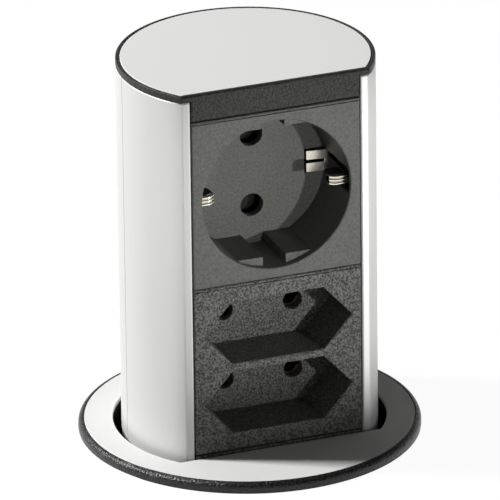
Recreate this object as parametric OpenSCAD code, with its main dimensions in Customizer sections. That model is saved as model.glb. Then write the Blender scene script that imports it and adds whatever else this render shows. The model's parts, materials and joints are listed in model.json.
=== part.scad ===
// Pop up desk socket: a D shaped column with two socket modules that rises out of a flange in a desk top.
// Origin on the desk top at the axis of the column's round back, +Z up, flat front toward -Y, millimetres.
// The column is drawn raised. It sinks by "travel" until its cover disc is level with the trim ring.

/* [Column] */
// Side of one square socket module
module_s = 45; // [44.5:0.1:45.5]
// Width of the strips beside the modules on the column's flat front
strip_w = 2.5; // [2:0.1:3]
// Radius of the column's round back
col_r = 32.5; // [32:0.1:34]
// Wall of the aluminium profile
col_wall = 2; // [1.6:0.1:2.6]
// Thickness of the front strips and of the module faces
face_t = 2; // [1.6:0.1:2.6]
// Thickness of the lips behind the module faces
lip_t = 1.5; // [1:0.1:2]
// Height of the cap's skirt above the upper module
skirt_h = 5.6; // [4:0.1:8]
// Height from the trim ring to the lower module
show_gap = 0.5; // [0.3:0.1:3]
// Length of the column below the lower module
foot_len = 49; // [46:0.5:54]
// Radius of the profile's screw ports
port_r = 3; // [2.6:0.1:3.4]
// Depth of the caps' rims inside the profile
rim_h = 5; // [4:0.5:8]

/* [Cap] */
// Thickness of the cap's edge
cap_t = 1.9; // [1.7:0.1:3]
// Thickness of the cover disc
disc_t = 0.6; // [0.4:0.1:0.7]
// Width of the black rim round the cover disc
disc_rim = 1; // [0.6:0.1:2]
// Radius of the small screws' shanks
screw_r = 1.2; // [1:0.1:1.3]
// Length of the small screws
screw_len = 9; // [7:0.5:11]

/* [Round socket] */
// Margin of a module's face beside its recesses
recess_margin = 2.7; // [2.5:0.1:3]
// Depth of the round recess
recess_depth = 17.5; // [17:0.1:18]
// Thickness of the recess floors
floor_t = 2.5; // [2:0.1:3]
// Wall round the recesses
cup_wall = 1.6; // [1.4:0.1:1.7]
// Distance between the round socket's pin holes
pin_pitch = 19; // [18.8:0.1:19.2]
// Diameter of the round socket's pin holes
pin_d = 6; // [5.4:0.1:6.2]
// Distance of the guide blocks' flats from the socket's axis
guide_flat = 17.2; // [16.8:0.1:17.6]
// Depth at which the guide blocks start
guide_depth = 2.2; // [1.8:0.1:3]
// Width of the groove between the guide blocks
guide_slot = 6; // [5.5:0.1:6.5]
// Thickness of the earth strip
earth_t = 0.8; // [0.6:0.1:0.9]
// Width of the earth strip's fingers together
earth_w = 5.8; // [5:0.1:6]
// Thickness of the shutter
shutter_t = 1.2; // [1:0.1:1.5]

/* [Twin flat sockets] */
// Height of a six sided recess
hex_h = 16.7; // [16:0.1:17]
// Length of each of its two points, along its width
hex_point = 7.5; // [7:0.1:8]
// Depth of the six sided recesses
hex_depth = 14; // [13:0.1:15]
// Web between the two recesses
hex_web = 2.1; // [1.9:0.1:2.5]
// Distance between a recess's pin holes
euro_pitch = 18.6; // [18:0.1:19]
// Diameter of the small pin holes
euro_d = 5; // [4.6:0.1:5.4]

/* [Rear housings] */
// Margin of the modules' rear housings inside the module's square
base_margin = 2.1; // [1.7:0.1:2.7]
// Wall of the rear housings
base_wall = 1.8; // [1.4:0.1:2]
// Depth of the rear housings behind the recess floors
base_depth = 13.5; // [13:0.1:14]
// Half width of a contact's terminal block
block_half = 3.5; // [3.2:0.1:3.8]
// Radius of the terminal screws' heads
term_head_r = 2.7; // [2.4:0.1:3]

/* [Flange and collar] */
// Thickness of the flange above the desk
flange_t = 2.7; // [2.4:0.1:5]
// Rounding of the flange's outer edge
flange_round = 1.5; // [0.8:0.1:1.6]
// Overhang of the flange past the desk hole
flange_over = 3.9; // [3.6:0.1:8]
// Width of the flange's black edge round the trim ring
flange_edge = 1.4; // [1:0.1:1.6]
// Thickness of the trim ring
trim_t = 1; // [0.6:0.1:1.2]
// Gap round the column in the flange
hole_gap = 2.2; // [1.9:0.1:2.3]
// Gap in front of the column in the flange
front_gap = 1; // [0.8:0.1:1.4]
// Thickness of the desk gasket
gasket_t = 0.8; // [0.6:0.1:1]
// Width of the desk gasket
gasket_w = 2.2; // [1.6:0.1:2.4]
// Length of the plain spigot that fills the desk hole's mouth
spigot_len = 6; // [5:0.5:8]
// Thickness of the sleeve inside its thread
sleeve_wall = 1.8; // [1.6:0.1:2.2]
// Height of the thread's ridges
thread_h = 1.1; // [0.8:0.1:1.3]
// Pitch of the thread
thread_p = 3; // [2.5:0.1:4]
// Count of thread ridges
thread_n = 11; // [9:1:11]
// Thickness of the desk top that the clamp is drawn on
desk_t = 25; // [24:0.5:26]
// Height of the pressure ring
press_h = 3; // [2:0.5:4]
// Height of the clamp nut
nut_h = 9; // [8:0.5:10]
// Width of the clamp nut
nut_w = 6.5; // [5.5:0.1:8]
// Count of finger notches round the nut
nut_notches = 16; // [12:1:20]

/* [Lift] */
// Height of the guide ring
guide_h = 8; // [6:0.5:9]
// Length of the collar's tail round the housing tube
tail_h = 8; // [7:0.5:10]
// How far the bottom cap's lip stands out from the column
stop_lip = 1.8; // [1.5:0.1:2.2]
// Thickness of the bottom cap
bottom_t = 4; // [3.5:0.1:5]
// Wall of the housing tube
tube_wall = 1.6; // [1.4:0.1:2]
// Height kept under the sunk column
under_room = 16.5; // [16.5:0.5:22]
// Thickness of the base plug
base_t = 6; // [5:0.5:8]
// Radius of the guide rods
rod_r = 2; // [1.6:0.1:2.2]
// Distance of the guide rods from the middle, sideways
rod_x = 16; // [15:0.5:17]
// Distance of the guide rods in front of the profile's inside
rod_in = 10.5; // [10:0.5:12]
// Wire diameter of the lift springs
lift_wire = 0.7; // [0.6:0.05:0.8]
// Mean coil radius of the lift springs
lift_coil = 5; // [4.6:0.1:5.4]
// Turns of a lift spring
lift_turns = 18; // [14:1:20]
// Travel of the push latch
latch_travel = 5; // [3:0.5:5.5]

/* [Cable gland] */
// Radius of the cable's bore
cable_r = 4.2; // [3.5:0.1:4.6]
// Thread radius of the cable gland
gland_r = 8; // [7.5:0.1:8.4]
// Height of the gland's head
gland_head = 9; // [7:0.5:12]

/* [Hidden] */
$fn = 64;

// Clearances: between seated pieces, between running pieces, between stacked pieces, and a cut's overshoot
fit_gap = 0.15;
run_gap = 0.3;
stack_gap = 0.6;
cut = 1;

// Heights of the raised column
trim_top = flange_t;
euro_z = trim_top + show_gap + module_s / 2;
schuko_z = euro_z + module_s;
col_top = schuko_z + module_s / 2 + skirt_h;
cap_top = col_top + cap_t;
travel = cap_top - trim_top;
foot_z = euro_z - module_s / 2 - foot_len;

// Plan of the column
front_half = module_s / 2 + strip_w;
front_y = -sqrt(col_r * col_r - front_half * front_half);
mouth_half = module_s / 2 + fit_gap;
lip_under = 0.5;
lip_half = module_s / 2 - lip_under;
inner_r = col_r - col_wall;
lip_back = face_t + lip_t;
port_at = inner_r - port_r / 2;
port_angles = [4, 90, 176];
disc_r = col_r - disc_rim;
disc_front = front_y + disc_rim;

// Hooks behind the faces, and where the blank panel has them as shares of its length
hook_w = 4;
hook_z = 12;
hook_reach = 1;
hook_t = 1.8;
panel_hooks = [0.3, 0.75];

// What both rear housings use: walls, pan heads, bosses, contact sleeves, terminal blocks, wire slots
base_half = module_s / 2 - base_margin;
base_inner = base_half - base_wall;
pan_head = 1.2;
boss_r = 2.6;
contact_wall = 1.1;
contact_gap = 0.5;
pin_grip = 0.4;
sleeve_whole = 2;
block_t = 4;
block_trim = 1;
term_r = 1.6;
term_len = 3.4;
term_z = base_inner - run_gap - block_half + block_trim;
wire_half = 2;
wire_len = 6;
wire_back = 1;

// Round socket depths, measured from the face
recess_d = module_s - 2 * recess_margin;
recess_r = recess_d / 2;
cup_r = recess_r + cup_wall;
floor_back = recess_depth + floor_t;
pivot_r = 1.6;
hub_w = 2.2;
coil_wire = 0.5;
coil_r = 2.6;
coil_turns = 2;
coil_pitch = 0.95;
coil_end = floor_back + run_gap + coil_wire + coil_turns * coil_pitch;
shutter_front = coil_end + run_gap;
shutter_back = shutter_front + shutter_t;
shutter_cover = pin_d / 2 + stack_gap;
bridge_front = shutter_back + stack_gap;
bridge_back = bridge_front + earth_t;
schuko_back = floor_back + base_depth;
contact_front = shutter_back + contact_gap;
contact_back = schuko_back - base_wall - run_gap;
block_front = contact_back - block_t;
foot_in = 5.2;
foot_x = recess_r - foot_in;
term_in = 4.1;
term_x = foot_x - term_in;
boss_in = 4;
boss_x = base_inner - boss_in;
boss_z = 9.6;
boss_back = schuko_back - base_wall - fit_gap;
schuko_boss_at = [[boss_x, boss_z], [-boss_x, -boss_z]];
schuko_term_at = [[0, term_z], [0, -term_z], [term_x, 0]];

// Earth strip: arms in the wall slots, ridged heads in front, shelf and foot at the recess floor
arm_gap = 0.2;
arm_x = recess_r + arm_gap;
head_depth = 3;
head_in = 3.6;
head_half = 1.4;
ridge_r = 0.45;
shelf_up = 2.4;
shelf_depth = recess_depth - shelf_up;
earth_slot_half = earth_w / 2 + run_gap;

// Twin socket widths and depths, and how a recess's tips and level edges grow with its wall
hex_w = recess_d;
hex_flat = hex_w - 2 * hex_point;
hex_pitch = hex_h + hex_web;
euro_floor_back = hex_depth + floor_t;
euro_back = euro_floor_back + base_depth;
euro_boss_back = euro_back - base_wall - fit_gap;
euro_contact_front = euro_floor_back + contact_gap;
euro_contact_back = euro_back - base_wall - run_gap;
euro_term_z = -term_z;
euro_boss_at = [[0, hex_pitch / 2], [0, -hex_pitch / 2]];
euro_term_at = [[euro_pitch / 2, euro_term_z], [-euro_pitch / 2, euro_term_z]];
bar_t = 1.2;
tip_grow = 1.3;
flat_grow = 0.45;

// Collar and housing radii, outward from the column
hole_r = col_r + hole_gap;
lip_r = col_r + stop_lip;
tube_ri = lip_r + stack_gap;
tube_ro = tube_ri + tube_wall;
root_r = tube_ro + fit_gap + sleeve_wall;
thread_r = root_r + thread_h;
flange_r = thread_r + flange_over;
trim_r = flange_r - flange_edge;
gasket_in = 0.7;
gasket_ri = thread_r + gasket_in;
nut_ri = thread_r + run_gap;
nut_ro = nut_ri + nut_w;
notch_r = 2.6;
notch_out = 1;
set_r = 1.5;
set_angles = [30, 150, 270];
base_angles = [-30, 90, 210];

// Shares of the pitch at which a thread ridge starts, reaches its crest, leaves it and ends
thread_shares = [0, 0.2, 0.4, 0.6];

// Heights below the desk
guide_bottom = foot_z + run_gap;
guide_top = guide_bottom + guide_h;
tube_top = guide_bottom;
tail_bottom = tube_top - tail_h;
bottom_z = foot_z - bottom_t;
bush_flange = 1.2;
bush_wall = 1.6;
grommet_r = 7;
grommet_lip = 1.5;
bush_bottom = bottom_z - bush_flange;
seat_z = bush_bottom - travel - under_room;
rod_y = inner_r - rod_in;
tube_bottom = seat_z - base_t;
plug_flange = 3;
plug_bottom = tube_bottom - plug_flange;
plug_rim = 8;
plug_wall = 2.4;
press_top = -desk_t;
nut_top = press_top - press_h - run_gap;

// Latch and gland places on the base plug
latch_in = 3.75;
latch_y = front_y + latch_in;
latch_half = 6;
latch_wall = 1.6;
plunger_half = latch_half - latch_wall - run_gap;
latch_floor = 1.6;
latch_coil = 2.4;
latch_wire = 0.6;
latch_turns = 5;
latch_spring_h = latch_travel + (latch_turns + 2) * latch_wire;
plunger_bottom = seat_z + latch_floor + latch_spring_h;
plunger_mouth = 4;
plunger_web = 1.4;
plunger_top = plunger_bottom + plunger_web + plunger_mouth;
plunger_show = 1.5;
latch_top = plunger_top - plunger_show;
striker_head = 2.4;
striker_cap = 2;
striker_stem = 1.6;
striker_tip = plunger_bottom + plunger_web + run_gap + travel;
gland_y = 6;
gland_grip = 2;
gland_hex = gland_r + gland_grip;
gland_nut_h = 4;
gland_spare = 2;
gland_thread = base_t + plug_flange + gland_nut_h + gland_spare;

// Steps of a spring's tube: sides round its wire and rings to a turn
wire_sides = 6;
turn_steps = 8;

// A disc of radius r with everything in front of y0 cut away
module d_shape(r, y0) {
    difference() {
        circle(r);
        translate([-2 * r, y0 - 4 * r]) square([4 * r, 4 * r]);
    }
}

// Raises a plan outline from height z0 to z1
module raise(z0, z1) {
    translate([0, 0, z0]) linear_extrude(z1 - z0) children();
}

// Sinks an outline drawn in X and Z into the front, from depth d0 to d1, about height zc
module sunk(zc, d0, d1) {
    translate([0, front_y + d1, zc]) rotate([90, 0, 0]) linear_extrude(d1 - d0) children();
}

// A rectangle from one corner to the other
module rect(x0, y0, x1, y1) {
    translate([x0, y0]) square([x1 - x0, y1 - y0]);
}

// Puts a copy on each screw port of the profile
module at_ports() {
    for (a = port_angles) rotate(a) translate([port_at, 0]) rotate(-a) children();
}

// Puts a copy at each guide rod
module at_rods() {
    for (s = [-1, 1]) translate([s * rod_x, rod_y]) children();
}

// Points of a ring round a helix point, and the tube through all rings
function helix_point(t, r, pitch) = [r * cos(360 * t), r * sin(360 * t), pitch * t];
function helix_ring(t, r, pitch, wire) =
    let (out = [cos(360 * t), sin(360 * t), 0], slope = atan2(pitch, 2 * PI * r))
    let (up = [sin(360 * t) * sin(slope), -cos(360 * t) * sin(slope), cos(slope)])
    [for (k = [0:wire_sides - 1]) let (a = 360 * k / wire_sides)
        helix_point(t, r, pitch) + wire / 2 * (cos(a) * out + sin(a) * up)];

module helix_tube(r, pitch, turns, wire) {
    n = wire_sides;
    steps = turn_steps * turns;
    last = n * steps;
    points = [for (i = [0:steps]) each helix_ring(i / turn_steps, r, pitch, wire)];
    sides = [for (i = [0:steps - 1]) for (k = [0:n - 1])
        let (a = n * i + k, b = n * i + (k + 1) % n)
        each [[a, a + n, b], [b, a + n, b + n]]];
    ends = [for (k = [1:n - 2]) each [[0, k, k + 1], [last, last + k + 1, last + k]]];
    polyhedron(points, concat(sides, ends));
}

// The least gap of a helix to itself, half a turn to one and a half turns on
function helix_gap(r, pitch, wire) =
    min([for (i = [turn_steps / 2:turn_steps * 3 / 2])
        norm(helix_point(i / turn_steps, r, pitch) - helix_point(0, r, pitch))]) - wire;

// A screw along -Z with its head's top at the origin: a countersunk or a pan head
module flat_screw(r, length) {
    translate([0, 0, -r]) cylinder(r1 = r, r2 = 2 * r, h = r);
    translate([0, 0, -length]) cylinder(r = r, h = length - r / 2);
}

module pan_screw(r, length, head_r, head_h) {
    difference() {
        cylinder(r = head_r, h = head_h);
        translate([-head_r, -r / 4, head_h / 2]) cube([2 * head_r, r / 2, head_h]);
    }
    translate([0, 0, -length]) cylinder(r = r, h = length + head_h / 4);
}

// Corner points of a six sided recess, widened by grow
function hex_points(grow) =
    let (w = hex_w / 2 + tip_grow * grow, h = hex_h / 2 + grow, f = hex_flat / 2 + flat_grow * grow)
    [[-w, 0], [-f, h], [f, h], [w, 0], [f, -h], [-f, -h]];

// The aluminium column: a C section with front strips, lips and screw ports
module column_section() {
    difference() {
        union() {
            difference() {
                d_shape(col_r, front_y);
                d_shape(inner_r, front_y + face_t);
            }
            intersection() {
                d_shape(col_r - col_wall / 4, front_y + face_t / 2);
                for (s = [-1, 1]) scale([s, 1])
                    rect(lip_half, front_y + face_t / 2, col_r, front_y + lip_back);
            }
            at_ports() circle(port_r);
        }
        rect(-mouth_half, front_y - cut, mouth_half, front_y + face_t);
        at_ports() circle(screw_r + fit_gap / 2);
    }
}

module column_profile() {
    color("silver") raise(foot_z, col_top) column_section();
}

// A rim that plugs into the profile's end, clear of the ports and lips
module plug_rim_plan() {
    difference() {
        d_shape(inner_r - fit_gap, front_y + lip_back + fit_gap);
        d_shape(inner_r - col_wall - fit_gap, front_y + lip_back + col_wall);
        at_ports() circle(port_r + fit_gap);
    }
}

module top_cap() {
    color("#2b2b29") difference() {
        union() {
            raise(col_top, cap_top) d_shape(col_r, front_y);
            raise(col_top - rim_h, col_top + cap_t / 4) plug_rim_plan();
            raise(col_top - skirt_h + fit_gap, col_top + cap_t / 4)
                rect(-module_s / 2, front_y, module_s / 2, front_y + face_t);
        }
        raise(cap_top - disc_t, cap_top + cut) d_shape(disc_r, disc_front);
        translate([0, 0, cap_top - disc_t]) at_ports() screw_sink(screw_r + fit_gap);
    }
}

// The hole of a countersunk screw, with its mouth at the origin
module screw_sink(r) {
    translate([0, 0, -r]) cylinder(r1 = r, r2 = 2 * r + fit_gap / 4, h = r + fit_gap / 4);
    translate([0, 0, -cap_t]) cylinder(r = r, h = cap_t);
}

module cover_disc() {
    color("gainsboro") raise(cap_top - disc_t, cap_top) d_shape(disc_r - fit_gap, disc_front + fit_gap);
}

module cap_screws() {
    color("dimgray") translate([0, 0, cap_top - disc_t]) at_ports() flat_screw(screw_r, screw_len);
}

// A module's face plate and the hooks that hold it behind the profile's lips
module face_plate() {
    half = module_s / 2 - fit_gap / 2;
    sunk(0, 0, face_t) rect(-half, -half, half, half);
}

module face_hooks(from_x) {
    for (s = [-1, 1]) for (z = [-hook_z, hook_z])
        sunk(z, lip_back + fit_gap, lip_back + fit_gap + hook_t)
            scale([s, 1]) rect(from_x, -hook_w / 2, lip_half + hook_reach, hook_w / 2);
}

// Outline of the two guide blocks, cut by their grooves
module guide_blocks_plan() {
    difference() {
        circle(recess_r + cup_wall / 2);
        rect(-recess_d, -guide_flat, recess_d, guide_flat);
        rect(-guide_slot / 2, -recess_d, guide_slot / 2, recess_d);
    }
}

module schuko_front() {
    color("#4a4a48") translate([0, 0, schuko_z]) difference() {
        union() {
            difference() {
                union() {
                    face_plate();
                    sunk(0, face_t / 2, floor_back) circle(cup_r);
                    face_hooks(recess_r * cos(45));
                }
                sunk(0, -cut, recess_depth) circle(recess_r);
            }
            sunk(0, guide_depth, recess_depth + floor_t / 2) guide_blocks_plan();
            sunk(0, recess_depth + floor_t / 2, shutter_back + run_gap) circle(pivot_r);
            for (s = [-1, 1]) sunk(0, recess_depth + floor_t / 2, boss_back)
                translate([s * boss_x, s * boss_z]) circle(boss_r);
        }
        for (z = [-1, 1]) sunk(z * pin_pitch / 2, 0, floor_back + cut) circle(pin_d / 2);
        for (s = [-1, 1]) {
            sunk(0, face_t / 2, floor_back + cut) scale([s, 1])
                rect(recess_r - head_in / 3, -earth_slot_half, cup_r + cut, earth_slot_half);
            sunk(0, recess_depth - cut, floor_back + cut) scale([s, 1])
                rect(foot_x - run_gap, -earth_slot_half, cup_r, earth_slot_half);
            sunk(0, floor_back, boss_back + cut) translate([s * boss_x, s * boss_z])
                circle(screw_r + fit_gap / 2);
        }
    }
}

// A rear housing: a box open to the front, with holes for its screws and terminals
module rear_housing(d0, d1, screws, terminals, head_r) {
    slot_end = d1 - base_wall - wire_back;
    difference() {
        sunk(0, d0, d1) rect(-base_half, -base_half, base_half, base_half);
        sunk(0, d0 - cut, d1 - base_wall) rect(-base_inner, -base_inner, base_inner, base_inner);
        for (p = screws) sunk(0, d0, d1 + cut) translate(p) circle(screw_r + run_gap);
        for (p = terminals) {
            sunk(0, d0, d1 + cut) translate(p) circle(head_r + run_gap);
            sunk(0, slot_end - wire_len, slot_end)
                rect(p[0] - wire_half, -base_half - cut, p[0] + wire_half, -base_inner + cut);
        }
    }
}

module schuko_base() {
    color("#3a3a3c") translate([0, 0, schuko_z])
        rear_housing(floor_back, schuko_back, schuko_boss_at, schuko_term_at, term_head_r);
}

// Pan head screws driven forward from a rear housing's back
module rear_screws(places, back, length, r, head_r) {
    for (p = places) translate([p[0], front_y + back, p[1]]) rotate([-90, 0, 0])
        pan_screw(r, length, head_r, pan_head);
}

module schuko_screws() {
    color("dimgray") translate([0, 0, schuko_z])
        rear_screws(schuko_boss_at, schuko_back, screw_len, screw_r, 2 * screw_r);
}

// One earth clip in plan, X and depth: ridged head, arm in the wall slot, shelf and foot
module earth_clip(s) {
    scale([s, 1, 1]) {
        sunk(0, head_depth, head_depth + earth_t)
            rect(arm_x - head_in, -head_half, arm_x + earth_t, head_half);
        for (z = [-1, 0, 1]) translate([arm_x - head_in, front_y + head_depth, z * 2 * ridge_r])
            rotate([0, 90, 0]) cylinder(r = ridge_r, h = head_in + earth_t);
        sunk(0, head_depth, shelf_depth + earth_t) rect(arm_x, -head_half, arm_x + earth_t, head_half);
        sunk(0, shelf_depth, shelf_depth + earth_t) difference() {
            rect(foot_x, -earth_w / 2, arm_x + earth_t, earth_w / 2);
            rect(foot_x - cut, -earth_t / 2, arm_x - earth_t, earth_t / 2);
        }
        sunk(0, shelf_depth, bridge_back) difference() {
            rect(foot_x, -earth_w / 2, foot_x + earth_t, earth_w / 2);
            rect(foot_x - cut, -earth_t / 2, foot_x + earth_t + cut, earth_t / 2);
        }
    }
}

module earth_stirrup() {
    color("lightgray") translate([0, 0, schuko_z]) {
        for (s = [-1, 1]) earth_clip(s);
        sunk(0, bridge_front, bridge_back) difference() {
            rect(-foot_x - earth_t, -earth_w / 2, foot_x + earth_t, earth_w / 2);
            circle(pivot_r + run_gap);
        }
        sunk(0, bridge_back - earth_t / 2, contact_back) difference() {
            rect(term_x - block_half, -block_half, foot_x + earth_t, block_half);
            translate([term_x, 0]) circle(term_r + fit_gap / 2);
        }
    }
}

// A contact sleeve for a pin of diameter d at height z, split in front and whole at its back
module contact_sleeve(z, d0, d1, d) {
    difference() {
        sunk(z, d0, d1) difference() {
            circle(d / 2 + contact_wall);
            circle(d / 2 - pin_grip);
        }
        sunk(z, d0 - cut, d1 - sleeve_whole) rect(-d, -pin_grip, d, pin_grip);
    }
}

// The line and neutral contacts: a sleeve and a terminal block each
module schuko_contacts() {
    color("goldenrod") translate([0, 0, schuko_z]) for (s = [-1, 1]) difference() {
        union() {
            contact_sleeve(s * pin_pitch / 2, contact_front, contact_back, pin_d);
            sunk(0, block_front, contact_back) difference() {
                scale([1, s])
                    rect(-block_half, term_z - block_half, block_half, term_z + block_half - block_trim);
                translate([0, s * pin_pitch / 2]) circle(pin_d / 2 - pin_grip);
            }
        }
        sunk(s * term_z, block_front - cut, contact_back + cut) circle(term_r + fit_gap / 2);
    }
}

module schuko_terminals() {
    color("silver") translate([0, 0, schuko_z])
        rear_screws(schuko_term_at, contact_back, term_len, term_r, term_head_r);
}

module shutter() {
    color("ivory") translate([0, 0, schuko_z]) sunk(0, shutter_front, shutter_back) difference() {
        union() {
            circle(pivot_r + hub_w);
            for (s = [-1, 1]) translate([0, s * pin_pitch / 2]) circle(shutter_cover);
            rect(-shutter_cover / 2, -pin_pitch / 2, shutter_cover / 2, pin_pitch / 2);
        }
        circle(pivot_r + run_gap);
    }
}

module shutter_spring() {
    color("gray") translate([0, front_y + floor_back + run_gap + coil_wire / 2, schuko_z]) rotate([-90, 0, 0])
        helix_tube(coil_r, coil_pitch, coil_turns, coil_wire);
}

module euro_front() {
    half = lip_half - fit_gap;
    color("#3f3f3d") translate([0, 0, euro_z]) difference() {
        union() {
            face_plate();
            for (s = [-1, 1]) intersection() {
                sunk(s * hex_pitch / 2, face_t / 2, euro_floor_back) polygon(hex_points(cup_wall));
                sunk(0, 0, euro_floor_back) rect(-half, -half, half, half);
            }
            face_hooks(hex_flat / 2);
            for (s = [-1, 1])
                sunk(s * hex_pitch / 2, euro_floor_back - floor_t / 2, euro_boss_back) circle(boss_r);
        }
        for (s = [-1, 1]) {
            sunk(s * hex_pitch / 2, -cut, hex_depth) polygon(hex_points(0));
            sunk(s * hex_pitch / 2, euro_floor_back, euro_boss_back + cut) circle(screw_r + fit_gap / 2);
            for (x = [-1, 1]) sunk(s * hex_pitch / 2, 0, euro_floor_back + cut)
                translate([x * euro_pitch / 2, 0]) circle(euro_d / 2);
        }
    }
}

module euro_base() {
    color("#3a3a3c") translate([0, 0, euro_z])
        rear_housing(euro_floor_back, euro_back, euro_boss_at, euro_term_at, term_head_r);
}

module euro_screws() {
    color("dimgray") translate([0, 0, euro_z])
        rear_screws(euro_boss_at, euro_back, screw_len, screw_r, 2 * screw_r);
}

// One bar on each side that joins the contact sleeves of both recesses
module euro_contacts() {
    color("goldenrod") translate([0, 0, euro_z]) for (x = [-1, 1]) translate([x * euro_pitch / 2, 0]) {
        for (s = [-1, 1]) contact_sleeve(s * hex_pitch / 2, euro_contact_front, euro_contact_back, euro_d);
        sunk(0, euro_contact_back - bar_t, euro_contact_back) difference() {
            rect(-euro_d / 2, euro_term_z, euro_d / 2, hex_pitch / 2);
            for (s = [-1, 1]) translate([0, s * hex_pitch / 2]) circle(euro_d / 2 - pin_grip);
            translate([0, euro_term_z]) circle(term_r + fit_gap / 2);
        }
        sunk(euro_term_z, euro_contact_back - block_t, euro_contact_back) difference() {
            rect(-block_half, -block_half + block_trim, block_half, block_half);
            circle(term_r + fit_gap / 2);
            translate([0, -euro_term_z - hex_pitch / 2]) circle(euro_d / 2 - pin_grip);
        }
    }
}

module euro_terminals() {
    color("silver") translate([0, 0, euro_z])
        rear_screws(euro_term_at, euro_contact_back, term_len, term_r, term_head_r);
}

module blank_panel() {
    top = euro_z - module_s / 2 - fit_gap;
    half = module_s / 2 - fit_gap / 2;
    color("#3f3f3d") {
        raise(foot_z, top) rect(-half, front_y, half, front_y + face_t);
        raise(foot_z + rim_h + fit_gap, top)
            rect(-lip_half + fit_gap, front_y + face_t / 2, lip_half - fit_gap, front_y + lip_back + fit_gap);
        for (share = panel_hooks) for (s = [-1, 1])
            raise(foot_z + share * foot_len, foot_z + share * foot_len + hook_w) scale([s, 1])
                rect(lip_half - hook_w, front_y + lip_back + fit_gap / 2,
                     lip_half + hook_reach, front_y + lip_back + fit_gap + hook_t);
    }
}

module bottom_cap() {
    color("#2b2b29") difference() {
        union() {
            raise(bottom_z, foot_z) d_shape(lip_r, front_y - stop_lip);
            raise(foot_z - fit_gap, foot_z + rim_h) plug_rim_plan();
        }
        raise(bottom_z - cut, foot_z + cut) {
            at_ports() circle(screw_r + fit_gap);
            at_rods() circle(rod_r + run_gap + bush_wall + fit_gap / 2);
            circle(grommet_r);
            translate([0, latch_y]) circle(striker_stem + fit_gap / 2);
        }
    }
}

module bottom_screws() {
    color("dimgray") at_ports() translate([0, 0, bottom_z]) rotate([180, 0, 0])
        pan_screw(screw_r, screw_len + bottom_t, 2 * screw_r, bush_flange);
}

module rod_bushes() {
    bush_ro = rod_r + run_gap + bush_wall;
    color("white") at_rods() difference() {
        union() {
            raise(bush_bottom, foot_z + run_gap) circle(bush_ro);
            raise(bush_bottom, bottom_z) circle(lift_coil + lift_wire);
        }
        raise(bush_bottom - cut, foot_z + cut) circle(rod_r + run_gap);
    }
}

// A rubber ring that lines the hole for the inner lead
module lead_grommet() {
    color("#222222") difference() {
        union() {
            raise(bottom_z - bush_flange, foot_z + bush_flange) circle(grommet_r - fit_gap / 2);
            raise(bottom_z - bush_flange, bottom_z) circle(grommet_r + grommet_lip);
            raise(foot_z, foot_z + bush_flange) circle(grommet_r + grommet_lip);
        }
        raise(bottom_z - 2 * cut, foot_z + 2 * bush_flange) circle(cable_r);
    }
}

// The headed pin under the bottom cap that the push latch takes hold of
module striker() {
    color("silver") translate([0, latch_y, 0]) {
        raise(striker_tip, foot_z) circle(striker_stem);
        raise(striker_tip, striker_tip + striker_cap) circle(striker_head);
        raise(bottom_z - bush_flange, bottom_z) circle(striker_head);
    }
}

module collar() {
    ridge_in = tube_ro + sleeve_wall / 2;
    ridge = thread_shares * thread_p;
    color("#1c1c1c") difference() {
        union() {
            rotate_extrude() {
                square([flange_r - flange_round, flange_t]);
                square([flange_r, flange_t - flange_round]);
                translate([flange_r - flange_round, flange_t - flange_round]) circle(flange_round);
            }
            raise(-spigot_len, flange_t / 2) circle(thread_r);
            raise(tail_bottom, flange_t / 2) circle(root_r);
            for (i = [1:thread_n]) translate([0, 0, -spigot_len - i * thread_p]) rotate_extrude()
                polygon([[ridge_in, ridge[0]], [thread_r, ridge[1]],
                         [thread_r, ridge[2]], [ridge_in, ridge[3]]]);
        }
        raise(-spigot_len, flange_t + cut) d_shape(hole_r, front_y - front_gap);
        raise(guide_top, -spigot_len + cut / 4) circle(hole_r);
        raise(tail_bottom - cut, guide_top) circle(tube_ro + fit_gap);
        raise(trim_top - trim_t, trim_top + cut) circle(trim_r);
        raise(-cut, gasket_t) difference() {
            circle(gasket_ri + gasket_w + fit_gap / 2);
            circle(gasket_ri - fit_gap / 2);
        }
        at_set_screws() cylinder(r = set_r + fit_gap / 4, h = flange_r);
    }
}

// Radial places round the collar's tail
module at_set_screws() {
    for (a = set_angles) rotate(a) translate([0, 0, tube_top - tail_h / 2]) rotate([0, 90, 0]) children();
}

module set_screws() {
    color("dimgray") at_set_screws() translate([0, 0, tube_ri + fit_gap])
        cylinder(r = set_r, h = root_r - tube_ri - fit_gap);
}

module trim_ring() {
    color("gainsboro") raise(trim_top - trim_t, trim_top) difference() {
        circle(trim_r - fit_gap);
        d_shape(hole_r, front_y - front_gap);
    }
}

module gasket() {
    color("#303030") raise(0, gasket_t) difference() {
        circle(gasket_ri + gasket_w);
        circle(gasket_ri);
    }
}

module guide_ring() {
    color("whitesmoke") raise(guide_bottom, guide_top) difference() {
        circle(tube_ro);
        d_shape(col_r + run_gap, front_y - run_gap);
    }
}

module pressure_ring() {
    color("#262626") raise(press_top - press_h, press_top) difference() {
        circle(nut_ro);
        circle(nut_ri);
    }
}

module clamp_nut() {
    color("#262626") raise(nut_top - nut_h, nut_top) difference() {
        circle(nut_ro);
        circle(nut_ri);
        for (i = [0:nut_notches - 1]) rotate(i * 360 / nut_notches)
            translate([nut_ro + notch_out, 0]) circle(notch_r);
    }
}

module housing_tube() {
    color("silver") difference() {
        raise(tube_bottom, tube_top) difference() {
            circle(tube_ro);
            circle(tube_ri);
        }
        at_set_screws() cylinder(r = set_r + fit_gap / 4, h = flange_r);
        at_base_screws() cylinder(r = screw_r + fit_gap, h = flange_r);
    }
}

// Radial places round the foot of the housing tube
module at_base_screws() {
    for (a = base_angles) rotate(a) translate([0, 0, seat_z + plug_rim / 2]) rotate([0, 90, 0]) children();
}

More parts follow.
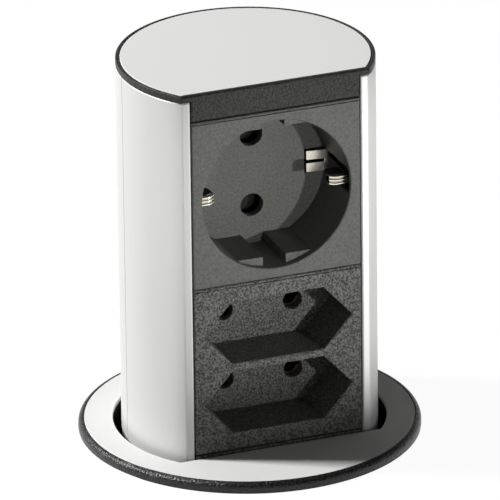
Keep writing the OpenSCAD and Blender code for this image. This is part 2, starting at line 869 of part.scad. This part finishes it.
module base_plug() {
    plug_r = tube_ri - fit_gap;
    color("#2b2b29") difference() {
        union() {
            raise(plug_bottom, tube_bottom) circle(tube_ro);
            raise(tube_bottom - fit_gap, seat_z) circle(plug_r);
            raise(seat_z - fit_gap, seat_z + plug_rim) difference() {
                circle(plug_r);
                circle(plug_r - plug_wall);
            }
        }
        raise(tube_bottom, seat_z + cut) at_rods() circle(rod_r + fit_gap / 2);
        raise(plug_bottom - cut, seat_z + cut) translate([0, gland_y]) circle(gland_r + fit_gap);
        at_base_screws() cylinder(r = screw_r + fit_gap / 2, h = flange_r);
    }
}

module base_screws() {
    color("dimgray") at_base_screws() translate([0, 0, tube_ro])
        pan_screw(screw_r, tube_wall + plug_wall, 2 * screw_r, pan_head);
}

module guide_rods() {
    color("silver") raise(tube_bottom, foot_z + run_gap) at_rods() circle(rod_r);
}

module lift_springs() {
    length = bush_bottom - seat_z - 2 * run_gap - lift_wire;
    color("gray") translate([0, 0, seat_z + run_gap + lift_wire / 2])
        at_rods() helix_tube(lift_coil, length / lift_turns, lift_turns, lift_wire);
    echo(lift_spring_self_gap = helix_gap(lift_coil, length / lift_turns, lift_wire));
}

module latch_body() {
    inner = latch_half - latch_wall;
    color("#333336") translate([0, latch_y]) difference() {
        raise(seat_z, latch_top) rect(-latch_half, -latch_half, latch_half, latch_half);
        raise(seat_z + latch_floor, latch_top + cut) rect(-inner, -inner, inner, inner);
    }
}

module latch_plunger() {
    color("ivory") translate([0, latch_y]) difference() {
        raise(plunger_bottom, plunger_top) rect(-plunger_half, -plunger_half, plunger_half, plunger_half);
        raise(plunger_bottom + plunger_web, plunger_top + cut) circle(striker_head + run_gap);
    }
}

module latch_spring() {
    length = latch_spring_h - 2 * run_gap - latch_wire;
    color("gray") translate([0, latch_y, seat_z + latch_floor + run_gap + latch_wire / 2])
        helix_tube(latch_coil, length / latch_turns, latch_turns, latch_wire);
    echo(latch_spring_self_gap = helix_gap(latch_coil, length / latch_turns, latch_wire));
}

module cable_gland() {
    color("#1c1c1c") translate([0, gland_y]) difference() {
        union() {
            raise(plug_bottom - gland_head, plug_bottom) circle(gland_hex, $fn = 6);
            raise(plug_bottom - fit_gap, plug_bottom + gland_thread) circle(gland_r);
        }
        raise(plug_bottom - gland_head - cut, plug_bottom + gland_thread + cut) circle(cable_r);
    }
}

module gland_nut() {
    color("#1c1c1c") translate([0, gland_y]) raise(seat_z, seat_z + gland_nut_h) difference() {
        circle(gland_hex, $fn = 6);
        circle(gland_r + fit_gap / 2);
    }
}

echo(shutter_spring_self_gap = helix_gap(coil_r, coil_pitch, coil_wire));

collar();
trim_ring();
gasket();
guide_ring();
set_screws();
pressure_ring();
clamp_nut();
housing_tube();
base_plug();
base_screws();
guide_rods();
lift_springs();
latch_body();
latch_plunger();
latch_spring();
cable_gland();
gland_nut();
column_profile();
top_cap();
cover_disc();
cap_screws();
schuko_front();
schuko_base();
schuko_screws();
earth_stirrup();
schuko_contacts();
schuko_terminals();
shutter();
shutter_spring();
euro_front();
euro_base();
euro_screws();
euro_contacts();
euro_terminals();
blank_panel();
bottom_cap();
bottom_screws();
rod_bushes();
lead_grommet();
striker();
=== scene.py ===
"""Looks of the pop up desk socket: rounded edges, materials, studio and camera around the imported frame."""
import json
import math

import bmesh
import bpy
from mathutils import Matrix, Vector


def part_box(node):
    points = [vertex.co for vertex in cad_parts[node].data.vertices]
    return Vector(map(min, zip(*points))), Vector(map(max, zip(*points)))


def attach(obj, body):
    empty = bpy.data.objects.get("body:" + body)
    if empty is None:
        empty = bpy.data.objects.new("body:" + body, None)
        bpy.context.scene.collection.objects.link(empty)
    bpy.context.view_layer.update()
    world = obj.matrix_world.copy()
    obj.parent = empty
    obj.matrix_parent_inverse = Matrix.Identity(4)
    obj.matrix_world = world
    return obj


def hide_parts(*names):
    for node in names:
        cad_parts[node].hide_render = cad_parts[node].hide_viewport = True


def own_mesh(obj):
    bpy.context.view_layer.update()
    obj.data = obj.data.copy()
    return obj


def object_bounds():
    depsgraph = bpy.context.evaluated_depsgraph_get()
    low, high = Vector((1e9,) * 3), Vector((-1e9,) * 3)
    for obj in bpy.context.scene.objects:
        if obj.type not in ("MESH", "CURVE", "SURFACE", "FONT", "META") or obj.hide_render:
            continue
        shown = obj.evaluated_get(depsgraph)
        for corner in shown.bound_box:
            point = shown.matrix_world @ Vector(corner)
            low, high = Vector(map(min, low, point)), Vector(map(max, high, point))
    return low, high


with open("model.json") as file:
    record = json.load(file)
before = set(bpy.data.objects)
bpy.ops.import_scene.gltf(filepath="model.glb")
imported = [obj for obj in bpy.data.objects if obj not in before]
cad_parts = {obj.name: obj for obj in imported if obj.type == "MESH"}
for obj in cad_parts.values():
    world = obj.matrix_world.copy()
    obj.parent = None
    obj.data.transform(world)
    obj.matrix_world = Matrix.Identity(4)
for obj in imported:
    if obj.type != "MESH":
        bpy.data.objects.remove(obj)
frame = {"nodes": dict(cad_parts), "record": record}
cad_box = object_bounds()
MM = 0.001
FRONT_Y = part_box("euro_front")[0].y

# Camera: fitted angle, distance and focal length in pixels of the 500 pixel frame
CAM_AZIMUTH = -20.98
CAM_ELEVATION = 22.96
CAM_ROLL = -0.70
CAM_DISTANCE = 2500 * MM
CAM_FOCAL_PX = 9946
FRAME_PX = 500
SENSOR_MM = 36
CAM_TARGET = Vector((0, 0, 50)) * MM
CAM_SIDEWAYS = 0.61 * MM
CAM_UPWARD = -2.19 * MM

# Rounding of the edges of each replaced piece, in millimetres
EDGE_ROUND = {
    "column_profile": 0.25, "top_cap": 0.35, "cover_disc": 0.15, "schuko_front": 0.22, "euro_front": 0.28,
    "trim_ring": 0.15, "collar": 0.2, "blank_panel": 0.25, "pressure_ring": 0.5,
    "clamp_nut": 0.5, "housing_tube": 0.3, "base_plug": 0.4, "cable_gland": 0.4, "gland_nut": 0.2,
    "earth_stirrup": 0.12, "latch_body": 0.3, "latch_plunger": 0.2, "guide_ring": 0.3,
}
# Wider rounding of the edges that lie in the front plane
FRONT_ROUND = {"schuko_front": 0.42, "euro_front": 0.42, "column_profile": 0.5, "top_cap": 0.6}
SHARP_ANGLE = math.radians(32)
FLAT_ANGLE = math.radians(0.4)
MERGE_DISTANCE = 0.002 * MM
HEAL_TURNS = 40
FRONT_DEPTH = 0.45 * MM
ROUND_SEGMENTS = 4
ROUND_PROFILE = 0.5

# The column's front strips lean back to their outer corners
STRIP_LEAN = 0.35 * MM
STRIP_MIDDLE = 23.6 * MM

# The earth fingers lie just over the round recess's floor, and the ridged heads reach further in
FINGER_DEPTH = (15.0 * MM, 16.2 * MM)
FINGER_SINK = (2.2 * MM, 1.2 * MM)
FINGER_X = (13 * MM, 19.6 * MM)
HEAD_DEPTH = 4 * MM
HEAD_X = 17 * MM
HEAD_REACH = 1.0 * MM

# Each head's tip curves back
TIP_LENGTH = 2.0 * MM
TIP_CUTS = 4
TIP_BEND = 0.9 * MM

# Each head's top, over its middle, curls back in steps, given as the way back and the loss of width
HEAD_TOP = 1.4 * MM
BACK_NORMAL = 0.99
CURL_STEPS = ((2.4 * MM, 0), (1.6 * MM, 0.3 * MM))
CURL_THICK = 0.6 * MM
CURL_INSET = 1.3 * MM

# Painted shade: the earth clips are painted black between their ridged heads and their fingers, where the
# wall's slots shade them
PAINTED_SHADE_DEPTH = (4.1 * MM, 16 * MM)

# The boxes that cut grooves and seams reach this many times as far out as the part
OVERSHOOT = 2

# A fine groove under each module's top edge
GROOVE_BELOW = 0.62 * MM
GROOVE_WIDTH = 0.25 * MM
GROOVE_DEPTH = 0.6 * MM

# A hairline seam down each side of the column
SEAM_Y = 1.4 * MM
SEAM_WIDTH = 0.25 * MM
SEAM_DEPTH = 0.2 * MM

# Noise gives values round a middle, most of them between a low and a high one
NOISE_MIDDLE = 0.5
NOISE_LOW = 0.3
NOISE_HIGH = 0.7
METAL_DETAIL = 3.0
METAL_DARK = 0.96
PLASTIC_DETAIL = 4.0


def shader_of(name, color, roughness, metallic=0.0):
    """A new material and its shader, with the values that are the same all over set on its sockets."""
    material = bpy.data.materials.new(name)
    material.use_nodes = True
    shader = material.node_tree.nodes["Principled BSDF"]
    shader.inputs["Base Color"].default_value = (*color, 1)
    shader.inputs["Roughness"].default_value = roughness
    shader.inputs["Metallic"].default_value = metallic
    return material, shader


def noise(material, per_mm, detail, stretch=(1, 1, 1)):
    """A noise texture in the part's own coordinates, with about per_mm grains to a millimetre."""
    nodes, links = material.node_tree.nodes, material.node_tree.links
    place = nodes.new("ShaderNodeTexCoord")
    mapping = nodes.new("ShaderNodeMapping")
    texture = nodes.new("ShaderNodeTexNoise")
    mapping.inputs["Scale"].default_value = stretch
    texture.inputs["Scale"].default_value = per_mm / MM
    texture.inputs["Detail"].default_value = detail
    links.new(place.outputs["Object"], mapping.inputs["Vector"])
    links.new(mapping.outputs["Vector"], texture.inputs["Vector"])
    return texture.outputs["Fac"]


def vary(material, value, socket, low, high):
    """Drives a shader socket from low to high by a texture value."""
    nodes, links = material.node_tree.nodes, material.node_tree.links
    spread = nodes.new("ShaderNodeMapRange")
    spread.inputs["From Min"].default_value = NOISE_LOW
    spread.inputs["From Max"].default_value = NOISE_HIGH
    spread.inputs["To Min"].default_value = low
    spread.inputs["To Max"].default_value = high
    links.new(value, spread.inputs["Value"])
    links.new(spread.outputs["Result"], socket)


def tint(material, value, socket, dark, light, start=NOISE_LOW, end=NOISE_HIGH):
    """Drives a colour socket from dark to light by a texture value that goes from start to end."""
    nodes, links = material.node_tree.nodes, material.node_tree.links
    ramp = nodes.new("ShaderNodeValToRGB")
    ramp.color_ramp.elements[0].position = start
    ramp.color_ramp.elements[1].position = end
    ramp.color_ramp.elements[0].color = (*dark, 1)
    ramp.color_ramp.elements[1].color = (*light, 1)
    links.new(value, ramp.inputs["Fac"])
    links.new(ramp.outputs["Color"], socket)


def bump(material, shader, value, height_mm):
    """Raises the surface by a texture value."""
    nodes, links = material.node_tree.nodes, material.node_tree.links
    raised = nodes.new("ShaderNodeBump")
    raised.inputs["Distance"].default_value = height_mm * MM
    raised.inputs["Strength"].default_value = 1.0
    links.new(value, raised.inputs["Height"])
    links.new(raised.outputs["Normal"], shader.inputs["Normal"])


def metal(name, color, roughness, per_mm, stretch=(1, 1, 1), spread=0.08, metallic=1.0, height_mm=0.004):
    """A metal with grain lines: colour, roughness and bump vary with a stretched noise."""
    material, shader = shader_of(name, color, roughness, metallic)
    grain = noise(material, per_mm, METAL_DETAIL, stretch)
    vary(material, grain, shader.inputs["Roughness"], roughness - spread, roughness + spread)
    tint(material, grain, shader.inputs["Base Color"], [METAL_DARK * c for c in color], color)
    bump(material, shader, grain, height_mm)
    return material


def plastic(name, color, roughness, per_mm, height_mm, spread=0.06, light=1.35, gloss=0.3, edge=0.2):
    """A moulded plastic with an eroded grain, more sharply drawn the smaller its edge is."""
    material, shader = shader_of(name, color, roughness)
    shader.inputs["Specular IOR Level"].default_value = gloss
    grain = noise(material, per_mm, PLASTIC_DETAIL)
    vary(material, grain, shader.inputs["Roughness"], roughness - spread, roughness + spread)
    pale = [light * c for c in color]
    tint(material, grain, shader.inputs["Base Color"], color, pale, NOISE_MIDDLE - edge, NOISE_MIDDLE + edge)
    bump(material, shader, grain, height_mm)
    return material


# The finishes by the record's slots; a colour is linear, and per_mm counts the grains to a millimetre
METALS = {
    "column_aluminium": dict(color=(0.62, 0.62, 0.61), roughness=0.44, per_mm=12.0, stretch=(1, 1, 0.03),
                             spread=0.04, metallic=0.25, height_mm=0.0008),
    "trim_aluminium": dict(color=(0.62, 0.62, 0.61), roughness=0.76, per_mm=8.0, metallic=0.1),
    "tube_aluminium": dict(color=(0.66, 0.66, 0.66), roughness=0.4, per_mm=4.0, stretch=(1, 1, 0.04)),
    "nickel": dict(color=(0.88, 0.84, 0.74), roughness=0.2, per_mm=3.0, spread=0.05),
    # Painted shade: contact_brass is brass darkened so that the contacts deep in the pin holes look dark
    "contact_brass": dict(color=(0.30, 0.22, 0.11), roughness=0.5, per_mm=3.0),
    "screw_steel": dict(color=(0.55, 0.55, 0.54), roughness=0.35, per_mm=4.0),
    "bright_steel": dict(color=(0.70, 0.70, 0.70), roughness=0.25, per_mm=4.0),
}
PLASTICS = {
    "cap_plastic": dict(color=(0.009, 0.009, 0.008), roughness=0.42, per_mm=1.7, height_mm=0.3,
                        light=3.2, gloss=0.28, edge=0.1),
    "flange_plastic": dict(color=(0.005, 0.005, 0.005), roughness=0.3, per_mm=1.7, height_mm=0.3,
                           light=4.0, gloss=0.42, edge=0.1),
    "module_plastic": dict(color=(0.093, 0.093, 0.087), roughness=0.5, per_mm=1.8, height_mm=0.06,
                           light=1.42, gloss=0.12, edge=0.16),
    "grained_plastic": dict(color=(0.051, 0.051, 0.048), roughness=0.46, per_mm=2.1, height_mm=0.45,
                            light=3.5, gloss=0.12, edge=0.1),
    "housing_plastic": dict(color=(0.045, 0.045, 0.045), roughness=0.5, per_mm=3.0, height_mm=0.03),
    "slide_plastic": dict(color=(0.02, 0.02, 0.02), roughness=0.45, per_mm=2.0, height_mm=0.02),
    "black_rubber": dict(color=(0.02, 0.02, 0.02), roughness=0.75, per_mm=1.5, height_mm=0.04),
}
MATERIALS = {name: metal(name, **values) for name, values in METALS.items()}
MATERIALS.update((name, plastic(name, **values)) for name, values in PLASTICS.items())
SLOT_OF = {row["node"]: row["material_slot"] for row in frame["record"]["subparts"]}
BODY_OF = {node: body for body, nodes in frame["record"]["behaviour"]["bodies"].items() for node in nodes}


def paint(piece, slot):
    """Gives a piece its slot's material as its only one."""
    piece.data.materials.clear()
    piece.data.materials.append(MATERIALS[slot])


def sharp_edges(bm, front):
    """Sharp edges in the front plane, or all the others."""
    limit = FRONT_Y + FRONT_DEPTH
    return [e for e in bm.edges if e.is_convex and e.calc_face_angle() > SHARP_ANGLE
            and all(v.co.y < limit for v in e.verts) == front]


def round_edges(bm, edges, width):
    """Rounds edges by a width in millimetres."""
    bmesh.ops.bevel(bm, geom=edges, offset=width * MM, segments=ROUND_SEGMENTS, profile=ROUND_PROFILE,
                    affect="EDGES", clamp_overlap=False)


def longest_edge(face):
    """The longest edge of a face."""
    return max(face.edges, key=lambda e: e.calc_length())


def is_sliver(face):
    """A face that is no higher than the merging distance."""
    return 2 * face.calc_area() < MERGE_DISTANCE * longest_edge(face).calc_length()


def heal_slivers(bm):
    """Splits the long edge of each sliver at one of its other corners and merges what meets there."""
    for _ in range(HEAL_TURNS):
        face = next((f for f in bm.faces if is_sliver(f)), None)
        if face is None:
            return
        edge = longest_edge(face)
        corner = next(v for v in face.verts if v not in edge.verts)
        start = edge.verts[0]
        bmesh.utils.edge_split(edge, start, (corner.co - start.co).length / edge.calc_length())
        bmesh.ops.remove_doubles(bm, verts=bm.verts, dist=MERGE_DISTANCE)


def joined_faces(node):
    """A copy of a node's mesh with the triangles of each flat face joined."""
    bm = bmesh.new()
    bm.from_mesh(frame["nodes"][node].data)
    bmesh.ops.remove_doubles(bm, verts=bm.verts, dist=MERGE_DISTANCE)
    heal_slivers(bm)
    bmesh.ops.dissolve_limit(bm, angle_limit=FLAT_ANGLE, verts=bm.verts, edges=bm.edges)
    return bm


def finished_mesh(bm, node):
    """The mesh without empty faces, smooth except at the edges that are still sharp."""
    bmesh.ops.dissolve_degenerate(bm, dist=MERGE_DISTANCE, edges=bm.edges)
    for face in bm.faces:
        face.smooth = True
    for edge in bm.edges:
        edge.smooth = not edge.is_manifold or edge.calc_face_angle() < SHARP_ANGLE
    mesh = bpy.data.meshes.new(node + "_rounded")
    bm.to_mesh(mesh)
    bm.free()
    return mesh


def lean_strips(bm):
    """Moves the outer corners of the column's front strips back."""
    for vert in bm.verts:
        if vert.co.y < FRONT_Y + FRONT_DEPTH and abs(vert.co.x) > STRIP_MIDDLE:
            vert.co.y += STRIP_LEAN


def bend_clips(bm):
    """Lowers the earth clips' fingers, more at their tips, and lengthens and bends their ridged heads."""
    (tip, root), (tip_sink, root_sink) = FINGER_X, FINGER_SINK
    for vert in bm.verts:
        side, x = math.copysign(1, vert.co.x), abs(vert.co.x)
        depth = vert.co.y - FRONT_Y
        if FINGER_DEPTH[0] < depth < FINGER_DEPTH[1] and x > tip:
            vert.co.y += root_sink + (tip_sink - root_sink) * max(0, (root - x) / (root - tip))
        elif depth < HEAD_DEPTH and x < HEAD_X:
            vert.co.x -= side * HEAD_REACH
    curl_heads(bm)
    curve_tips(bm)


def cut_across(bm, faces, point, normal):
    """Cuts faces where they cross a plane, and keeps both sides."""
    verts = dict.fromkeys(v for f in faces for v in f.verts)
    edges = dict.fromkeys(e for f in faces for e in f.edges)
    bmesh.ops.bisect_plane(bm, geom=[*verts, *edges, *faces], plane_co=point, plane_no=normal)


def head_backs(bm):
    """The faces at the back of the ridged heads."""
    limit = FRONT_Y + HEAD_DEPTH
    return [f for f in bm.faces if f.normal.y > BACK_NORMAL and f.calc_center_median().y < limit]


def curl_heads(bm):
    """Draws the upper back of each ridged head back into a curl that narrows toward the wall."""
    low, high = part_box("earth_stirrup")
    reach = high.x - CURL_INSET
    level = (low.z + high.z) / 2 + HEAD_TOP - CURL_THICK
    for side in (-1, 1):
        cut_across(bm, head_backs(bm), (side * reach, 0, 0), (1, 0, 0))
    cut_across(bm, head_backs(bm), (0, 0, level), (0, 0, 1))
    backs = [f for f in head_backs(bm) if f.calc_center_median().z > level
             and all(abs(v.co.x) < reach + MERGE_DISTANCE for v in f.verts)]
    for back, narrower in CURL_STEPS:
        backs = bmesh.ops.extrude_discrete_faces(bm, faces=backs)["faces"]
        for vert in {v for f in backs for v in f.verts}:
            vert.co.y += back
            if abs(vert.co.x) < HEAD_X:
                vert.co.x += math.copysign(narrower, vert.co.x)


def curve_tips(bm):
    """Bends the tip of each ridged head back in a curve."""
    tip = min(abs(v.co.x) for v in bm.verts if v.co.y < FRONT_Y + HEAD_DEPTH)
    cuts = [tip + TIP_LENGTH * (i + 1) / TIP_CUTS for i in range(TIP_CUTS)]
    for x in (side * cut for side in (-1, 1) for cut in cuts):
        heads = [f for f in bm.faces if f.calc_center_median().y < FRONT_Y + FINGER_DEPTH[0]]
        cut_across(bm, heads, (x, 0, 0), (1, 0, 0))
    for vert in bm.verts:
        bent = max(0, tip + TIP_LENGTH - abs(vert.co.x)) / TIP_LENGTH
        if vert.co.y < FRONT_Y + HEAD_DEPTH:
            vert.co.y += TIP_BEND * bent ** 2


# The springs, which keep their CAD form, and the nodes that get a new form before their edges are rounded
PRESSED = ("lift_springs", "latch_spring")
RESHAPE = {"column_profile": lean_strips, "earth_stirrup": bend_clips}


def rounded_mesh(node, width):
    """A copy of a node's mesh with its sharp edges rounded, wider in the front plane where one is given."""
    bm = joined_faces(node)
    if node in RESHAPE:
        RESHAPE[node](bm)
    if node in FRONT_ROUND:
        round_edges(bm, sharp_edges(bm, True), FRONT_ROUND[node])
    round_edges(bm, sharp_edges(bm, False), width)
    return finished_mesh(bm, node)


def stand_for(node, mesh):
    """A new piece in place of a CAD node: its material, body and slot are the node's."""
    piece = bpy.data.objects.new(node + "_piece", mesh)
    bpy.context.scene.collection.objects.link(piece)
    even = piece.modifiers.new("even_normals", "WEIGHTED_NORMAL")
    even.keep_sharp = True
    paint(piece, SLOT_OF[node])
    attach(piece, BODY_OF[node])
    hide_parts(node)
    return piece


def cut_boxes(piece, boxes):
    """Cuts boxes, each given by two corners, out of a piece."""
    bm = bmesh.new()
    for low, high in boxes:
        for vert in bmesh.ops.create_cube(bm, size=1)["verts"]:
            share = vert.co + Vector((0.5, 0.5, 0.5))
            vert.co = Vector(l + s * (h - l) for l, s, h in zip(low, share, high))
    mesh = bpy.data.meshes.new(piece.name + "_cut")
    bm.to_mesh(mesh)
    bm.free()
    cutter = bpy.data.objects.new(piece.name + "_cut", mesh)
    bpy.context.scene.collection.objects.link(cutter)
    cut = piece.modifiers.new("cut", "BOOLEAN")
    cut.operation = "DIFFERENCE"
    cut.object = cutter
    cut.solver = "EXACT"
    piece.modifiers.move(len(piece.modifiers) - 1, 0)
    bpy.context.view_layer.update()
    shaped = piece.evaluated_get(bpy.context.evaluated_depsgraph_get())
    result = bpy.data.meshes.new_from_object(shaped)
    piece.modifiers.remove(cut)
    piece.data = result
    bpy.data.objects.remove(cutter)


def module_groove(node):
    """The box of the fine groove across a module's face."""
    low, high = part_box(node)
    z = high.z - GROOVE_BELOW
    half = GROOVE_WIDTH / 2
    start = (OVERSHOOT * low.x, OVERSHOOT * FRONT_Y, z - half)
    return start, (OVERSHOOT * high.x, FRONT_Y + GROOVE_DEPTH, z + half)


def side_seam(side):
    """The box of the hairline seam down one side of the column."""
    low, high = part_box("column_profile")
    half = SEAM_WIDTH / 2
    xs = sorted((side * OVERSHOOT * high.x, side * (high.x - SEAM_DEPTH)))
    return (xs[0], SEAM_Y - half, OVERSHOOT * low.z), (xs[1], SEAM_Y + half, OVERSHOOT * high.z)


def paint_shade_on_clips(piece):
    """Paints the arms and curls of the earth clips with the black rubber finish, as painted shade in the
    wall's slots.
    """
    piece.data.materials.append(MATERIALS["black_rubber"])
    near, far = PAINTED_SHADE_DEPTH
    for face in piece.data.polygons:
        face.material_index = int(near < face.center.y - FRONT_Y < far)


def press_spring(node):
    """A spring on its own copy of its CAD mesh, which keeps its form and rides with its body."""
    mesh = frame["nodes"][node].data.copy()
    mesh.name = node + "_coils"
    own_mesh(stand_for(node, mesh))


pieces = {node: stand_for(node, rounded_mesh(node, width)) for node, width in EDGE_ROUND.items()}
for node, cad in frame["nodes"].items():
    if node not in pieces and node not in PRESSED:
        paint(cad, SLOT_OF[node])
for node in ("schuko_front", "euro_front"):
    cut_boxes(pieces[node], [module_groove(node)])
cut_boxes(pieces["column_profile"], [side_seam(-1), side_seam(1)])
# Painted shade: the earth clips' arms and curls are painted black
paint_shade_on_clips(pieces["earth_stirrup"])
press_spring("lift_springs")
press_spring("latch_spring")


def add_camera():
    """The camera at the fitted angle."""
    azimuth, elevation, roll = (math.radians(a) for a in (CAM_AZIMUTH, CAM_ELEVATION, CAM_ROLL))
    back = Vector((math.sin(azimuth) * math.cos(elevation), -math.cos(azimuth) * math.cos(elevation),
                   math.sin(elevation)))
    level = Vector((math.cos(azimuth), math.sin(azimuth), 0))
    upright = back.cross(level)
    right = math.cos(roll) * level + math.sin(roll) * upright
    up = math.cos(roll) * upright - math.sin(roll) * level
    data = bpy.data.cameras.new("camera")
    data.sensor_width = SENSOR_MM
    data.lens = CAM_FOCAL_PX / FRAME_PX * SENSOR_MM
    camera = bpy.data.objects.new("camera", data)
    bpy.context.scene.collection.objects.link(camera)
    place = Matrix((right, up, back)).transposed().to_4x4()
    place.translation = CAM_TARGET + right * CAM_SIDEWAYS + up * CAM_UPWARD + back * CAM_DISTANCE
    camera.matrix_world = place
    bpy.context.scene.camera = camera


add_camera()

# Stage: a floor under the part, and a ring of desk top round its flange
FLOOR_HALF = 12.0
DESK_HOLE_R = 39.8 * MM
DESK_OUTER_R = 86 * MM
DESK_TOP = -0.01 * MM
DESK_THICK = 2 * MM
DESK_STEPS = 96
DESK_EDGE_GREY = 0.5
DESK_EDGE_ROUGHNESS = 0.6
STAGE_ROUGHNESS = 0.9

# The share of white that floor and desk glow with, and their grey, which shows the lamps' light
FLOOR_LOOK = (0.92, 0.08)
DESK_LOOK = (0.95, 0.07)


def seen_share(nodes, links):
    """A value of 1 for what the camera, a reflection or a clear material sees, and 0 for light itself."""
    path = nodes.new("ShaderNodeLightPath")
    direct = nodes.new("ShaderNodeMath")
    direct.operation = "MAXIMUM"
    either = nodes.new("ShaderNodeMath")
    either.operation = "MAXIMUM"
    links.new(path.outputs["Is Camera Ray"], direct.inputs[0])
    links.new(path.outputs["Is Glossy Ray"], direct.inputs[1])
    links.new(direct.outputs[0], either.inputs[0])
    links.new(path.outputs["Is Transmission Ray"], either.inputs[1])
    return either.outputs[0]


def white_stage(name, glow_share, grey):
    """A grey ground that glows enough to look white where lamps reach it, so that shadows stay on it."""
    material, shader = shader_of(name, [grey] * 3, STAGE_ROUGHNESS)
    shader.inputs["Specular IOR Level"].default_value = 0
    nodes, links = material.node_tree.nodes, material.node_tree.links
    shader.inputs["Emission Color"].default_value = (1, 1, 1, 1)
    glow = nodes.new("ShaderNodeMath")
    glow.operation = "MULTIPLY"
    glow.inputs[1].default_value = glow_share
    links.new(seen_share(nodes, links), glow.inputs[0])
    links.new(glow.outputs[0], shader.inputs["Emission Strength"])
    return material


def add_stage_mesh(name, verts, faces, material):
    """A new stage object from its points and faces."""
    mesh = bpy.data.meshes.new(name)
    mesh.from_pydata(verts, [], faces)
    mesh.materials.append(material)
    item = bpy.data.objects.new(name, mesh)
    bpy.context.scene.collection.objects.link(item)
    return item


def add_floor(z):
    """A wide square floor."""
    h = FLOOR_HALF
    corners = [(-h, -h, z), (h, -h, z), (h, h, z), (-h, h, z)]
    add_stage_mesh("floor", corners, [(0, 1, 2, 3)], white_stage("floor_white", *FLOOR_LOOK))


def add_desk_ring(z):
    """A thin board with a hole, level with the flange's underside: white on top and grey at its edge."""
    below = z - DESK_THICK
    profile = [(DESK_HOLE_R, z), (DESK_OUTER_R, z), (DESK_OUTER_R, below), (DESK_HOLE_R, below)]
    verts, faces = [], []
    count = len(profile)
    for i in range(DESK_STEPS):
        a = 2 * math.pi * i / DESK_STEPS
        verts += [(r * math.cos(a), r * math.sin(a), h) for r, h in profile]
        k, n = count * i, count * ((i + 1) % DESK_STEPS)
        for j in range(count):
            m = (j + 1) % count
            faces.append((k + j, k + m, n + m, n + j))
    ring = add_stage_mesh("desk_ring", verts, faces, white_stage("desk_white", *DESK_LOOK))
    ring.data.materials.append(shader_of("desk_edge", [DESK_EDGE_GREY] * 3, DESK_EDGE_ROUGHNESS)[0])
    for face in ring.data.polygons:
        face.material_index = int(round(face.normal.z) != 1)


add_floor(cad_box[0].z)
add_desk_ring(DESK_TOP)

# World: a white sweep up to a little above the horizon, and a dim studio over it
SWEEP_TOP = 0.06
STUDIO_FROM = 0.22
STUDIO_LEVEL = 0.08


def add_world():
    """The white sweep and the studio, by the height of the direction looked in."""
    world = bpy.data.worlds.new("studio")
    bpy.context.scene.world = world
    world.use_nodes = True
    nodes, links = world.node_tree.nodes, world.node_tree.links
    background = nodes["Background"]
    background.inputs["Color"].default_value = (1, 1, 1, 1)
    place = nodes.new("ShaderNodeTexCoord")
    split = nodes.new("ShaderNodeSeparateXYZ")
    level = nodes.new("ShaderNodeMapRange")
    level.inputs["From Min"].default_value = SWEEP_TOP
    level.inputs["From Max"].default_value = STUDIO_FROM
    level.inputs["To Min"].default_value = 1.0
    level.inputs["To Max"].default_value = STUDIO_LEVEL
    links.new(place.outputs["Generated"], split.inputs["Vector"])
    links.new(split.outputs["Z"], level.inputs["Value"])
    links.new(level.outputs["Result"], background.inputs["Strength"])


add_world()

# Lamps: a key from behind on the left, and a small one for the right strip's glint that only reflections show
KEY = dict(place=(-116.5, 40, 2.0), watts=70, size=0.25)
GLINT = dict(place=(37, -16, 0.4), watts=0.5, size=0.08)

# Spots that light the face without showing in reflections; the last one rakes past the recesses
FACE_SPOTS = {
    "face_spot": dict(aim=(0, 0, 62), place=(18, 4, 0.7), watts=10.8, radius=0.012, cone=9.4, blend=0.4),
    "face_fill": dict(aim=(0, 0, 71), place=(3, 4, 0.7), watts=5.2, radius=0.012, cone=7.0, blend=0.6),
    "face_rake": dict(aim=(0, -21, 58), place=(61, -6, 0.3), watts=1.0, radius=0.006, cone=20, blend=0.5),
}


def add_lamp(name, kind, aim, place, watts):
    """A lamp that looks at a point from an azimuth (0 in front, 90 on the right), elevation and distance."""
    azimuth, elevation, distance = place
    a, e = math.radians(azimuth), math.radians(elevation)
    toward = Vector((math.sin(a) * math.cos(e), -math.cos(a) * math.cos(e), math.sin(e)))
    data = bpy.data.lights.new(name, kind)
    data.energy = watts
    lamp = bpy.data.objects.new(name, data)
    bpy.context.scene.collection.objects.link(lamp)
    lamp.location = aim + toward * distance
    lamp.rotation_mode = "QUATERNION"
    lamp.rotation_quaternion = toward.to_track_quat("Z", "Y")
    return lamp


def add_area_lamp(name, place, watts, size):
    """A square lamp that looks at the camera's target."""
    lamp = add_lamp(name, "AREA", CAM_TARGET, place, watts)
    lamp.data.size = size
    return lamp


def add_face_spot(name, aim, place, watts, radius, cone, blend):
    """A spot that looks at a point of the face, given in millimetres."""
    spot = add_lamp(name, "SPOT", Vector(aim) * MM, place, watts)
    spot.data.shadow_soft_size = radius
    spot.data.spot_size = math.radians(cone)
    spot.data.spot_blend = blend
    spot.visible_glossy = False


add_area_lamp("key", **KEY)
for name, values in FACE_SPOTS.items():
    add_face_spot(name, **values)
add_area_lamp("glint", **GLINT).visible_diffuse = False

bpy.context.scene.view_settings.view_transform = "Standard"
